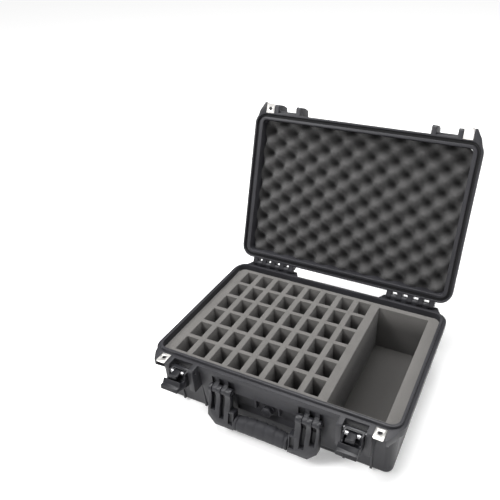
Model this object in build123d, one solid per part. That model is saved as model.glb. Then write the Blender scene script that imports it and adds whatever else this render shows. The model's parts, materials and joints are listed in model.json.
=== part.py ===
from build123d import *
import math
import os

# Driving dimensions, in millimetres and degrees

# Base shell
case_width = 420.0
case_depth = 284.0
base_height = 108.0
flange_height = 14.0
flange_corner = 24.0
flange_edge_round = 2.0
rim_width = 10.0
cavity_corner = 14.0
shell_wall = 4.0
floor_thickness = 5.0
draft_angle = 3.3
base_edge_round = 8.0
tongue_thickness = 4.0
tongue_height = 5.0

# Lid shell
lid_height = 51.0
lid_inset = 1.6
lid_flange_height = 13.0
lid_lip_side = 7.5
lid_lip_front = 5.5
lid_cavity_corner = 8.0
lid_corner = 20.0
lid_edge_round = 14.0
lid_open_angle = 109.5
parting_gap = 0.3
groove_clearance = 0.5
groove_swing = 0.5
gasket_height = 3.1
gasket_clearance = 0.2

# Panel lines pressed into the lid
line_depth = 1.2
line_width = 1.8
side_line_inset = 45.0
side_line_rows = (-12.0, 45.0)
front_panel_width = 204.0
front_panel_end = -57.0
rear_panel_width = 200.0
rear_panel_start = 78.0
panel_corner = 16.0

# Label plate and its recess
label_width = 128.0
label_depth = 48.0
label_corner = 7.0
label_thickness = 1.2
label_recess = 1.6
label_centre = 14.5
label_clearance = 0.4

# Hinges
hinge_out = 8.0
hinge_rise = 4.6
hinge_inset = 72.0
knuckle_radius = 5.0
knuckle_width = 9.4
knuckle_gap = 0.3
lid_knuckles = 5
hinge_pin_radius = 2.0
hinge_pin_overhang = 1.5
hinge_ledge_drop = 1.0
hinge_ledge_height = 12.0
hinge_ledge_margin = 9.0
hinge_fin_height = 45.0
hinge_fin_lean = 14.0

# Latches
latch_inset = 64.5
latch_gap = 35.0
fin_thickness = 8.5
fin_reach = 16.5
fin_height = 45.0
fin_chamfer = 3.0
ear_reach = 13.0
ear_straight = 22.0
ear_shoulder = 36.0
ear_shoulder_in = 3.0
ear_run = 44.0
ear_crest = 1.3
ear_tail = 18.0
ear_root = 14.0
ear_root_drop = 6.0
fin_rib_width = 3.5
fin_rib_height = 2.4
latch_pin_out = 8.0
latch_pin_drop = 10.0
latch_pin_radius = 2.2
latch_hub_radius = 4.4
lever_width = 31.0
lever_wall = 4.0
lever_skin = 3.5
lever_web = 0.5
lever_back = 4.0
lever_back_mid = (-3.2, 12.0)
lever_notch = (8.5, 15.5)
lever_notch_height = 5.0
lever_lip = (3.0, 26.0)
lever_ledge = (10.2, 29.5)
lever_step = (10.6, 35.0)
lever_tip = (17.2, 35.8)
lever_heel = (25.4, 1.0)
lever_foot = (18.0, -2.5)
groove_count = 3
tip_groove_radius = 0.6
tip_groove_depth = 0.4
tip_groove_pitch = 1.9
face_groove_radius = 1.1
face_groove_depth = 0.7
face_groove_start = 6.0
face_groove_pitch = 5.0
latch_open_angle = 85.0
claw_pivot_rise = 9.0
claw_pin_radius = 1.8
claw_hub_radius = 3.2
claw_width = 13.0
claw_thickness = 3.6
claw_hook_thickness = 3.0
claw_tip_overlap = 0.8
claw_fold_angle = 16.0
catch_reach = 2.4
catch_bottom = 5.5
catch_thickness = 5.0
catch_clearance = 0.4
spacer_radius = 3.8
side_clearance = 0.3
pin_clearance = 0.05

# Padlock plates and the corner wings beside them
plate_width = 16.0
plate_reach = 16.5
plate_tail = 3.0
plate_thickness = 2.0
plate_hole_radius = 3.5
plate_hole_inset = 11.5
plate_corner = 2.5
plate_clearance = 0.3
slot_clearance = 0.1
wing_height = 34.0
wing_tip_height = 10.0
wing_thickness = 3.4
wing_root = 118.0
wing_end_inset = 9.0
wing_root_inset = 2.0
wing_lap = 4.0

# Front boss with the handle brackets
boss_half_width = 117.0
boss_band = 33.0
boss_foot = 14.0
boss_lean = 6.0
finger_half_width = 55.0
finger_depth = 29.0
finger_ramp = 16.0
finger_rib_offset = 20.0
finger_rib_width = 3.0
finger_rib_height = 19.0
finger_rib_reach = 6.0

# Carrying handle
handle_pivot_out = 7.0
handle_pivot_drop = 28.0
handle_half_width = 94.0
handle_arm_inner = 55.0
handle_reach = 61.5
handle_chamfer = 14.0
handle_half_thickness = 7.0
handle_neck_half_thickness = 5.0
handle_neck_top = 11.0
handle_neck_foot = 21.0
handle_hub_radius = 7.5
handle_hang_angle = 13.0
handle_pin_radius = 2.5
tine_slots = ((65.0, 73.0, 48.0), (81.0, 89.0, 36.0))
tine_slot_floor = 3.0
tine_slot_floor_top = 16.0
prong_radius = 6.0
prong_clearance = 0.3
prong_root_rise = 2.0
notch_depth = 4.0
notch_top = 12.0
notch_bottom = 38.0
handle_web_start = 29.0
handle_pocket_depth = 5.0
handle_pocket_top = 32.0
handle_pocket_foot = 53.0
handle_pocket_side = 2.0
grip_side_gap = 1.0
grip_half_length = 46.0
grip_half_thickness = 10.5
grip_start = 38.0
grip_crown = 6.0
grip_round = 8.0
grip_core_start = 42.0
grip_core_end = 57.0
grip_core_half_thickness = 5.5
grip_clearance = 0.1

# Pressure valve
valve_drop = 51.0
valve_pad_size = 28.0
valve_pad_rise = 0.8
valve_pad_trim = 3.0
valve_stub_radius = 6.0
valve_bezel_radius = 11.0
valve_bezel_thickness = 2.0
valve_seal_radius = 9.0
valve_seal_thickness = 0.8
valve_knob_radius = 9.5
valve_knob_thickness = 6.4
valve_knob_gap = 0.3
valve_collar_radius = 8.5
knob_chamfer = 1.0
valve_stem_radius = 2.5
valve_stem_length = 7.0
knob_sides = 6

# Foam
foam_clearance = 0.4
foam_drop = 5.6
foam_pad_thickness = 12.0
slot_columns = 8
slot_rows = 6
slot_width = 22.8
slot_depth = 34.0
slot_pitch_x = 33.2
slot_pitch_y = 41.5
slot_side_wall = 19.8
slot_front_wall = 13.75
well_width = 89.0
well_side_wall = 20.0
well_front_wall = 10.0
well_back_wall = 11.0
lid_foam_drop = 8.0

# Egg-crate relief of the lid's foam: round hills and pits in turn, like a chessboard
egg_pitch_x = 44.4
egg_pitch_y = 41.2
egg_row = -25.0
egg_radius = 10.2
egg_hill_height = 8.2
egg_hill_crown = 4.5
egg_pit_depth = 12.3
egg_pit_floor = 2.0

# How far cuts and joined pieces run past each other
past = 1.0

# Places worked out from the driving dimensions
parting = base_height
front = case_depth / 2
cavity_width = case_width - 2 * rim_width
cavity_depth = case_depth - 2 * rim_width
lid_cavity_width = cavity_width - 2 * lid_lip_side
lid_cavity_depth = cavity_depth - 2 * lid_lip_front
slope = math.tan(math.radians(draft_angle))

hinge_centre = case_width / 2 - hinge_inset
hinge_y = front + hinge_out
hinge_z = parting + hinge_rise
hinge_axis = Axis((0, hinge_y, hinge_z), (1, 0, 0))
rim = parting + parting_gap
lid_top = rim + lid_height
side_line = case_width / 2 - side_line_inset

latch_centre = case_width / 2 - latch_inset
latch_y = -front - latch_pin_out
latch_z = parting - latch_pin_drop
latch_axis = Axis((0, latch_y, latch_z), (1, 0, 0))
fin_inner = latch_centre - latch_gap / 2
fin_outer = latch_centre + latch_gap / 2
plate_inner = fin_outer + fin_thickness + plate_clearance
plate_centre = plate_inner + plate_width / 2
wing_inner = plate_inner + plate_width + plate_clearance

handle_y = -front - handle_pivot_out
handle_z = parting - handle_pivot_drop
handle_axis = Axis((0, handle_y, handle_z), (1, 0, 0))

slot_left = -cavity_width / 2 + slot_side_wall
slot_front = -cavity_depth / 2 + slot_front_wall
well_right = cavity_width / 2 - well_side_wall
well_left = well_right - well_width
well_front = -cavity_depth / 2 + well_front_wall
well_back = cavity_depth / 2 - well_back_wall

sides = {"left": -1, "right": 1}


def wall_face(z):
    """Half depth over the base's outer wall at a height."""
    return cavity_depth / 2 + shell_wall - (parting - z) * slope


def slab(width, depth, corner, z_low, z_high):
    return extrude(Pos(0, 0, z_low) * RectangleRounded(width, depth, corner), z_high - z_low)


def drafted_down(width, depth, corner, z_top, height):
    sketch = Pos(0, 0, z_top) * RectangleRounded(width, depth, corner)
    return extrude(sketch, height, dir=(0, 0, -1), taper=draft_angle)


def drafted_up(width, depth, corner, z_low, height):
    sketch = Pos(0, 0, z_low) * RectangleRounded(width, depth, corner)
    return extrude(sketch, height, dir=(0, 0, 1), taper=draft_angle)


def block(x, y, z):
    """Box between three pairs of limits."""
    size = Box(abs(x[1] - x[0]), abs(y[1] - y[0]), abs(z[1] - z[0]))
    return Pos((x[0] + x[1]) / 2, (y[0] + y[1]) / 2, (z[0] + z[1]) / 2) * size


def prism_x(points, x_low, x_high):
    """Side profile of (y, z) points carried along X."""
    outline = Polyline(*[(x_low, y, z) for y, z in points], close=True)
    return extrude(make_face(outline), x_high - x_low, dir=(1, 0, 0))


def prism_z(points, z_low, z_high):
    """Plan of (x, y) points carried up Z."""
    outline = Polyline(*[(x, y, z_low) for x, y in points], close=True)
    return extrude(make_face(outline), z_high - z_low, dir=(0, 0, 1))


def rod_x(radius, y, z, x_low, x_high):
    return Pos((x_low + x_high) / 2, y, z) * Rot(0, 90, 0) * Cylinder(radius, x_high - x_low)


def rod_y(radius, x, z, y_low, y_high):
    return Pos(x, (y_low + y_high) / 2, z) * Rot(90, 0, 0) * Cylinder(radius, y_high - y_low)


def rod_z(radius, x, y, z_low, z_high):
    return Pos(x, y, (z_low + z_high) / 2) * Cylinder(radius, z_high - z_low)


def both_sides(shape):
    return shape + mirror(shape, Plane.YZ)


def on_side(shape, sign):
    """Piece modelled on the right, kept there or mirrored to the left."""
    return shape if sign > 0 else mirror(shape, Plane.YZ)


def lid_opened(shape):
    return shape.rotate(hinge_axis, -lid_open_angle)


def latch_opened(shape):
    return shape.rotate(latch_axis, latch_open_angle)


def handle_hung(shape):
    return shape.rotate(handle_axis, -handle_hang_angle)


def knuckle_centres(first, count):
    """Centres of every second knuckle of the right hinge."""
    pitch = knuckle_width + knuckle_gap
    start = hinge_centre - (lid_knuckles - 1) * pitch
    return [start + (first + 2 * i) * pitch for i in range(count)]


def base_block():
    body = drafted_down(
        cavity_width + 2 * shell_wall,
        cavity_depth + 2 * shell_wall,
        cavity_corner + shell_wall,
        parting,
        base_height,
    )
    return fillet(body.faces().sort_by(Axis.Z)[0].edges(), base_edge_round)


def base_flange():
    flange = slab(case_width, case_depth, flange_corner, parting - flange_height, parting)
    flange = fillet(flange.faces().sort_by(Axis.Z)[0].edges(), flange_edge_round)
    tongue = slab(
        cavity_width + 2 * tongue_thickness,
        cavity_depth + 2 * tongue_thickness,
        cavity_corner + tongue_thickness,
        parting,
        parting + tongue_height,
    )
    return flange + tongue


def base_cavity():
    depth = base_height - floor_thickness
    lower = drafted_down(cavity_width, cavity_depth, cavity_corner, parting, depth)
    mouth = slab(cavity_width, cavity_depth, cavity_corner, parting, parting + tongue_height + past)
    return lower + mouth


def front_boss():
    """Thickened middle of the front wall, with the finger well behind the handle."""
    inner = wall_face(boss_foot) - shell_wall / 2
    foot = wall_face(boss_foot) + past
    band_foot = parting - boss_band
    profile = [
        (-inner, parting - flange_height / 2),
        (-front, parting - flange_height / 2),
        (-front, band_foot),
        (-front + boss_lean, boss_foot + base_edge_round),
        (-foot, boss_foot),
        (-inner, boss_foot),
    ]
    boss = prism_x(profile, -boss_half_width, boss_half_width)
    well_foot = band_foot - finger_depth
    well = prism_x(
        [
            (-wall_face(band_foot), band_foot),
            (-wall_face(well_foot), well_foot),
            (-front - past, well_foot - finger_ramp),
            (-front - past, band_foot),
        ],
        -finger_half_width,
        finger_half_width,
    )
    return boss - well


def finger_ribs():
    band_foot = parting - boss_band
    rib = prism_x(
        [
            (-wall_face(band_foot) + past, band_foot + past),
            (-wall_face(band_foot) - finger_rib_reach, band_foot + past),
            (-wall_face(band_foot) - finger_rib_reach, band_foot - finger_rib_height),
            (-wall_face(band_foot) + past, band_foot - finger_rib_height - past),
        ],
        finger_rib_offset - finger_rib_width / 2,
        finger_rib_offset + finger_rib_width / 2,
    )
    return both_sides(rib)


def tine_spans():
    """X spans of the handle's tines, between and beside the slots."""
    edges = [handle_arm_inner]
    for low, high, _ in tine_slots:
        edges += [low, high]
    edges.append(handle_half_width)
    return [(edges[i], edges[i + 1]) for i in range(0, len(edges), 2)]


def handle_notches():
    cuts = Part()
    for low, high in tine_spans():
        cuts += block(
            (low - prong_clearance * 2, high + prong_clearance * 2),
            (-front + notch_depth, -front - past),
            (parting - notch_bottom, parting - notch_top),
        )
    return both_sides(cuts)


def handle_prongs():
    prongs = Part()
    root = -front + notch_depth
    for low, high, _ in tine_slots:
        span = (low + prong_clearance, high - prong_clearance)
        arm = prism_x(
            [
                (root, handle_z + prong_radius + prong_root_rise),
                (handle_y, handle_z + prong_radius),
                (handle_y, handle_z - prong_radius),
                (root, handle_z - 2 * prong_radius),
            ],
            *span,
        )
        prongs += arm + rod_x(prong_radius, handle_y, handle_z, *span)
    return both_sides(prongs)


def latch_fin_profile():
    root = -front + fin_reach
    tip = -front - fin_reach
    return [
        (root, parting),
        (tip + fin_chamfer, parting),
        (tip, parting - fin_chamfer),
        (tip, parting - fin_height + fin_chamfer),
        (tip + fin_chamfer, parting - fin_height),
        (root, parting - fin_height),
    ]


def latch_fins():
    """Two fins on each side of a latch, with the ribs below them."""
    inner = (fin_inner - fin_thickness, fin_inner)
    outer = (fin_outer, fin_outer + fin_thickness)
    fins = prism_x(latch_fin_profile(), *inner) + prism_x(latch_fin_profile(), *outer)
    rib_top = parting - fin_height
    rib_foot = base_edge_round / 2
    rib_profile = [
        (-wall_face(rib_top) + shell_wall / 2, rib_top + past),
        (-wall_face(rib_top) - fin_rib_height, rib_top + past),
        (-wall_face(rib_foot) - fin_rib_height, rib_foot),
        (-wall_face(rib_foot) + base_edge_round, rib_foot),
    ]
    for middle in (sum(inner) / 2, sum(outer) / 2):
        fins += prism_x(rib_profile, middle - fin_rib_width / 2, middle + fin_rib_width / 2)
    return both_sides(fins)


def latch_pockets():
    """Relief in the flange's face between the fins, where the latch turns."""
    back = -cavity_depth / 2 - shell_wall
    return both_sides(
        block(
            (fin_inner, fin_outer),
            (back, -front - past),
            (parting - flange_height - past, parting - flange_edge_round * 2),
        )
    )


def wing_plan():
    tip = -front - plate_reach + past
    return [
        (wing_inner, -wing_root),
        (wing_inner, tip),
        (wing_inner + wing_thickness, tip),
        (case_width / 2 - wing_end_inset, -front),
        (case_width / 2 - wing_root_inset, -wing_root),
    ]


def base_wings():
    """Gussets from the flange's corners to the padlock plates."""
    tip = -front - plate_reach
    solid = prism_z(wing_plan(), parting - wing_height, parting)
    under = prism_x(
        [
            (tip, parting - wing_tip_height),
            (-front + wing_lap, parting - wing_height - past),
            (tip, parting - wing_height - past),
        ],
        wing_inner - past,
        case_width / 2 + past,
    )
    room = block(
        (wing_inner + wing_thickness, case_width / 2 + past),
        (tip - past, -wing_root + past),
        (parting - wing_height - past, parting - flange_height),
    )
    return both_sides(solid - under - room)


def plate_slots(z_low, clearance):
    """Slots in a flange that hold the tails of the two padlock plates."""
    return both_sides(
        block(
            (plate_inner - clearance, plate_inner + plate_width + clearance),
            (-front + plate_tail + clearance, -front - past),
            (z_low - clearance, z_low + plate_thickness + clearance),
        )
    )


def hinge_ledges():
    """Ledges behind the flange that carry the base's knuckles."""
    half = lid_knuckles * (knuckle_width + knuckle_gap) + hinge_ledge_margin
    top = parting - hinge_ledge_drop
    out = hinge_y + knuckle_radius + past
    plan = [
        (hinge_centre - half, front - past),
        (hinge_centre - half + hinge_out, out),
        (hinge_centre + half - hinge_out, out),
        (hinge_centre + half, front - past),
    ]
    ledge = prism_z(plan, parting - hinge_ledge_height, top)
    for centre in knuckle_centres(1, lid_knuckles - 1):
        span = (centre - knuckle_width / 2, centre + knuckle_width / 2)
        foot = block(span, (hinge_y - knuckle_radius, hinge_y + knuckle_radius), (top - past, hinge_z))
        ledge += foot + rod_x(knuckle_radius, hinge_y, hinge_z, *span)
    return both_sides(ledge)


def hinge_bore():
    reach = (lid_knuckles + 1) * (knuckle_width + knuckle_gap)
    bore = rod_x(
        hinge_pin_radius + pin_clearance,
        hinge_y,
        hinge_z,
        hinge_centre - reach,
        hinge_centre + reach,
    )
    return both_sides(bore)


def latch_pin_span():
    return (fin_inner - fin_thickness, fin_outer + fin_thickness)


def latch_bore():
    low, high = latch_pin_span()
    return both_sides(rod_x(latch_pin_radius + pin_clearance, latch_y, latch_z, low - past, high + past))


def handle_pin_span():
    return (handle_arm_inner, handle_half_width)


def handle_bore():
    low, high = handle_pin_span()
    return both_sides(rod_x(handle_pin_radius + pin_clearance, handle_y, handle_z, low - past, high + past))


def valve_face():
    """Y of the flat pad that the valve seats on."""
    return -wall_face(parting - valve_drop) - valve_pad_rise


def valve_pad():
    z = parting - valve_drop
    half = valve_pad_size / 2
    inner = -wall_face(z) + shell_wall / 2
    return block((-half, half), (inner, valve_face()), (z - half + valve_pad_trim, z + half))


def valve_bore():
    z = parting - valve_drop
    inner = -wall_face(z) + 2 * shell_wall
    return rod_y(valve_stub_radius + pin_clearance, 0, z, valve_face() - past, inner)


def base_shell():
    shell = base_block() + base_flange() + front_boss() + finger_ribs() + valve_pad()
    shell += latch_fins() + base_wings() + hinge_ledges()
    shell -= handle_notches() + latch_pockets()
    shell += handle_prongs()
    shell -= base_cavity()
    shell -= plate_slots(parting - plate_thickness, slot_clearance)
    return shell - valve_bore() - hinge_bore() - latch_bore() - handle_bore()


def lid_block(inset):
    """Drafted outside of the lid, or the same block drawn in by an inset."""
    width = lid_cavity_width + 2 * shell_wall - 2 * inset
    depth = lid_cavity_depth + 2 * shell_wall - 2 * inset
    body = drafted_up(width, depth, lid_corner - inset, rim, lid_height - inset)
    return fillet(body.faces().sort_by(Axis.Z)[-1].edges(), lid_edge_round - inset)


def panel_lines():
    """Pressed lines: two U panels, the side lines and the rows beside them."""
    high = lid_top + past
    reach = case_depth
    front_length = reach + front_panel_end
    front_outer = Pos(0, front_panel_end - front_length / 2, rim) * RectangleRounded(
        front_panel_width, front_length, panel_corner
    )
    front_inner = Pos(0, front_panel_end - line_width - front_length / 2, rim) * RectangleRounded(
        front_panel_width - 2 * line_width, front_length, panel_corner - line_width
    )
    rear_length = reach - rear_panel_start
    rear_outer = Pos(0, rear_panel_start + rear_length / 2, rim) * RectangleRounded(
        rear_panel_width, rear_length, panel_corner
    )
    rear_inner = Pos(0, rear_panel_start + line_width + rear_length / 2, rim) * RectangleRounded(
        rear_panel_width - 2 * line_width, rear_length, panel_corner - line_width
    )
    tool = extrude(front_outer, high - rim) - extrude(front_inner, high - rim)
    tool += extrude(rear_outer, high - rim) - extrude(rear_inner, high - rim)
    side = block(
        (side_line - line_width / 2, side_line + line_width / 2),
        (-front, front),
        (rim + lid_height / 2, high),
    )
    for row in side_line_rows:
        side += block(
            (side_line, case_width / 2),
            (row - line_width / 2, row + line_width / 2),
            (rim + lid_flange_height, high),
        )
    tool += both_sides(side)
    return (tool & lid_block(0)) - lid_block(line_depth)


def lid_ears():
    """Tall ears above the latch fins that run back on to the lid's top."""
    reach = -front - ear_reach
    profile = [
        (-lid_cavity_depth / 2, rim),
        (reach + fin_chamfer, rim),
        (reach, rim + fin_chamfer),
        (reach, rim + ear_straight),
        (reach + ear_shoulder_in, rim + ear_shoulder),
        (reach + ear_run, lid_top + ear_crest),
        (reach + ear_run + ear_tail, lid_top - past),
        (reach + ear_run + ear_root, lid_top - ear_root_drop),
        (-lid_cavity_depth / 2, rim + lid_flange_height),
    ]
    ears = prism_x(profile, fin_inner - fin_thickness, fin_inner)
    ears += prism_x(profile, fin_outer, fin_outer + fin_thickness)
    return both_sides(ears)


def lid_catches():
    """Ledges that the latch claws pull on."""
    return both_sides(
        block(
            (fin_inner - past, fin_outer + past),
            (-lid_cavity_depth / 2 - shell_wall, -front - catch_reach),
            (parting + catch_bottom, parting + catch_bottom + catch_thickness),
        )
    )


def lid_wings():
    tip = -front - plate_reach
    solid = prism_z(wing_plan(), rim, rim + wing_height)
    over = prism_x(
        [
            (tip, rim + wing_tip_height),
            (-front + wing_lap, rim + wing_height + past),
            (tip, rim + wing_height + past),
        ],
        wing_inner - past,
        case_width / 2 + past,
    )
    room = block(
        (wing_inner + wing_thickness, case_width / 2 + past),
        (tip - past, -wing_root + past),
        (rim + lid_flange_height, rim + wing_height + past),
    )
    return both_sides(solid - over - room)


def lid_arms():
    """Triangular arms from the lid's rear wall to its knuckles."""
    arms = Part()
    root = lid_cavity_depth / 2
    profile = [
        (root, rim),
        (front + parting_gap, rim),
        (hinge_y, hinge_z - knuckle_radius),
        (hinge_y + knuckle_radius, hinge_z),
        (hinge_y - hinge_fin_lean - hinge_out, rim + hinge_fin_height),
        (root - shell_wall, rim + hinge_fin_height),
    ]
    for centre in knuckle_centres(0, lid_knuckles):
        span = (centre - knuckle_width / 2, centre + knuckle_width / 2)
        arms += prism_x(profile, *span) + rod_x(knuckle_radius, hinge_y, hinge_z, *span)
    return both_sides(arms)


def lid_flange():
    flange = slab(
        case_width - 2 * lid_inset,
        case_depth - 2 * lid_inset,
        flange_corner - lid_inset,
        rim,
        rim + lid_flange_height,
    )
    return fillet(flange.faces().sort_by(Axis.Z)[-1].edges(), flange_edge_round)


def ring(inner_margin, outer_margin, z_low, z_high):
    """Rounded ring around the cavity, between two margins outside its edge."""
    outer = slab(
        cavity_width + 2 * outer_margin,
        cavity_depth + 2 * outer_margin,
        cavity_corner + outer_margin,
        z_low,
        z_high,
    )
    inner = slab(
        cavity_width + 2 * inner_margin,
        cavity_depth + 2 * inner_margin,
        cavity_corner + inner_margin,
        z_low - past,
        z_high + past,
    )
    return outer - inner


def gasket_bottom():
    return parting + tongue_height + parting_gap


def groove_outer():
    """Outer margin of the groove, with room for the tongue as the lid swings."""
    return tongue_thickness + groove_clearance + groove_swing


def tongue_groove():
    return ring(
        -groove_clearance,
        groove_outer(),
        rim - past,
        gasket_bottom() + gasket_height,
    )


def lid_cavity():
    depth = lid_height - shell_wall
    return drafted_up(lid_cavity_width, lid_cavity_depth, lid_cavity_corner, rim, depth)


def label_seat(grow, z_low, z_high):
    sketch = Pos(0, label_centre, z_low) * RectangleRounded(
        label_width + 2 * grow, label_depth + 2 * grow, label_corner + grow
    )
    return extrude(sketch, z_high - z_low)


def lid_shell():
    shell = lid_block(0) - panel_lines()
    shell += lid_flange() + lid_ears() + lid_catches() + lid_wings() + lid_arms()
    shell -= lid_cavity() + tongue_groove()
    shell -= label_seat(label_clearance, lid_top - label_recess, lid_top + past)
    shell -= plate_slots(rim, slot_clearance)
    return lid_opened(shell - hinge_bore())


def lid_gasket():
    return lid_opened(
        ring(
            -groove_clearance + gasket_clearance,
            groove_outer() - gasket_clearance,
            gasket_bottom(),
            gasket_bottom() + gasket_height,
        )
    )


def label_plate():
    low = lid_top - label_recess
    return lid_opened(label_seat(0, low, low + label_thickness))


def hinge_pin():
    half = lid_knuckles * (knuckle_width + knuckle_gap) + hinge_pin_overhang - knuckle_width / 2
    pin = rod_x(hinge_pin_radius, hinge_y, hinge_z, hinge_centre - half, hinge_centre + half)
    return chamfer(pin.edges().filter_by(GeomType.CIRCLE), hinge_pin_radius / 5)


def lock_plate(z_low):
    """Stainless plate with a padlock hole and two rounded outer corners."""
    tail = -front + plate_tail
    tip = -front - plate_reach
    plate = block((plate_inner, plate_inner + plate_width), (tip, tail), (z_low, z_low + plate_thickness))
    corners = plate.edges().filter_by(Axis.Z).group_by(Axis.Y)[0]
    plate = fillet(corners, plate_corner)
    hole_y = tip + plate_hole_inset
    z_high = z_low + plate_thickness
    return plate - rod_z(plate_hole_radius, plate_centre, hole_y, z_low - past, z_high + past)


def lever_outline():
    """Closed latch lever, as (outward, up) points from its pin."""
    return [
        (-lever_back, 0),
        lever_back_mid,
        lever_notch,
        (lever_notch[0], lever_notch[1] + lever_notch_height),
        lever_lip,
        lever_ledge,
        lever_step,
        lever_tip,
        lever_heel,
        lever_foot,
        (0, -latch_hub_radius),
    ]


def lever_hollow():
    """Room for the claw between the cheeks, open towards the case."""
    floor = latch_hub_radius + lever_web
    mouth = -latch_hub_radius - lever_wall
    top = lever_notch[1] + lever_notch_height
    lean = (lever_heel[0] - lever_tip[0]) / (lever_tip[1] - lever_heel[1])
    face = lever_tip[0] + lean * (lever_tip[1] - top)
    return [
        (mouth, floor),
        (mouth, top),
        (face - lever_skin, top),
        (lever_heel[0] - lever_skin, lever_heel[1] + lever_skin / 2),
        (lever_foot[0], lever_foot[1] + lever_skin),
        (floor, floor),
    ]


def from_latch(points):
    return [(latch_y - out, latch_z + up) for out, up in points]


def grooves_along(first, last, start, pitch, radius, depth):
    """Round grooves across the lever, spaced along one straight edge of its outline."""
    cuts = Part()
    run = last[0] - first[0]
    rise = last[1] - first[1]
    length = math.hypot(run, rise)
    low = latch_centre - lever_width
    high = latch_centre + lever_width
    for i in range(groove_count):
        along = start + pitch * i
        off = radius - depth
        out = first[0] + (run * along - rise * off) / length
        up = first[1] + (rise * along + run * off) / length
        cuts += rod_x(radius, latch_y - out, latch_z + up, low, high)
    return cuts


def grip_grooves():
    """Grooves for the fingers: fine ones on the lever's end, coarse ones on its outer face."""
    end = math.dist(lever_step, lever_tip)
    start = (end - (groove_count - 1) * tip_groove_pitch) / 2
    fine = grooves_along(
        lever_step, lever_tip, start, tip_groove_pitch, tip_groove_radius, tip_groove_depth
    )
    coarse = grooves_along(
        lever_tip,
        lever_heel,
        face_groove_start,
        face_groove_pitch,
        face_groove_radius,
        face_groove_depth,
    )
    return fine + coarse


def latch_lever():
    low = latch_centre - lever_width / 2
    high = latch_centre + lever_width / 2
    body = prism_x(from_latch(lever_outline()), low, high)
    body += rod_x(latch_hub_radius, latch_y, latch_z, low, high)
    body -= prism_x(from_latch(lever_hollow()), low + lever_wall, high - lever_wall)
    body -= grip_grooves()
    body -= rod_x(latch_pin_radius + pin_clearance, latch_y, latch_z, low - past, high + past)
    claw_z = latch_z + claw_pivot_rise
    body += rod_x(claw_hub_radius, latch_y, claw_z, low, low + lever_wall)
    body += rod_x(claw_hub_radius, latch_y, claw_z, high - lever_wall, high)
    body -= rod_x(claw_pin_radius + pin_clearance, latch_y, claw_z, low - past, high + past)
    return latch_opened(body)


def latch_pin():
    low, high = latch_pin_span()
    return rod_x(latch_pin_radius, latch_y, latch_z, low, high)


def claw_pin():
    low = latch_centre - lever_width / 2
    high = latch_centre + lever_width / 2
    return latch_opened(rod_x(claw_pin_radius, latch_y, latch_z + claw_pivot_rise, low, high))


def claw_spacers():
    """Steel sleeves on the claw's pin, one at each side of the claw."""
    claw_z = latch_z + claw_pivot_rise
    inner = claw_width / 2 + side_clearance
    outer = lever_width / 2 - lever_wall - side_clearance
    sleeves = Part()
    for sign in (-1, 1):
        ends = sorted((latch_centre + sign * inner, latch_centre + sign * outer))
        sleeve = rod_x(spacer_radius, latch_y, claw_z, *ends)
        bore = rod_x(claw_pin_radius + pin_clearance, latch_y, claw_z, ends[0] - past, ends[1] + past)
        sleeves += sleeve - bore
    return latch_opened(sleeves)


def latch_claw():
    """Claw on the lever's pin, drawn upright over the catch, then folded back."""
    low = latch_centre - claw_width / 2
    high = latch_centre + claw_width / 2
    y = latch_y
    z = latch_z + claw_pivot_rise
    hook_foot = parting + catch_bottom + catch_thickness + catch_clearance
    inner = -front - catch_reach - catch_clearance
    outer = inner - claw_thickness
    tip = -front + claw_tip_overlap
    stem = prism_x([(inner, z), (inner, hook_foot), (outer, hook_foot), (outer, z)], low, high)
    hook = prism_x(
        [
            (outer, hook_foot),
            (tip, hook_foot),
            (tip, hook_foot + claw_hook_thickness / 2),
            (inner, hook_foot + claw_hook_thickness),
            (outer, hook_foot + claw_hook_thickness),
        ],
        low,
        high,
    )
    claw = stem + hook + rod_x(claw_hub_radius, y, z, low, high)
    claw -= rod_x(claw_pin_radius + pin_clearance, y, z, low - past, high + past)
    claw = claw.rotate(Axis((0, y, z), (1, 0, 0)), claw_fold_angle)
    return latch_opened(claw)


def handle_side():
    """Side outline of the handle's arms: full at the bar, with a neck below the hubs."""
    half = handle_half_thickness
    neck = handle_neck_half_thickness
    front_edge = [
        (-half, handle_reach + past),
        (-half, handle_web_start),
        (-neck, handle_neck_foot),
        (-neck, handle_neck_top),
        (-half, 0),
    ]
    back_edge = [(-out, down) for out, down in reversed(front_edge)]
    return [(handle_y + out, handle_z - down) for out, down in front_edge + back_edge]


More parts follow.
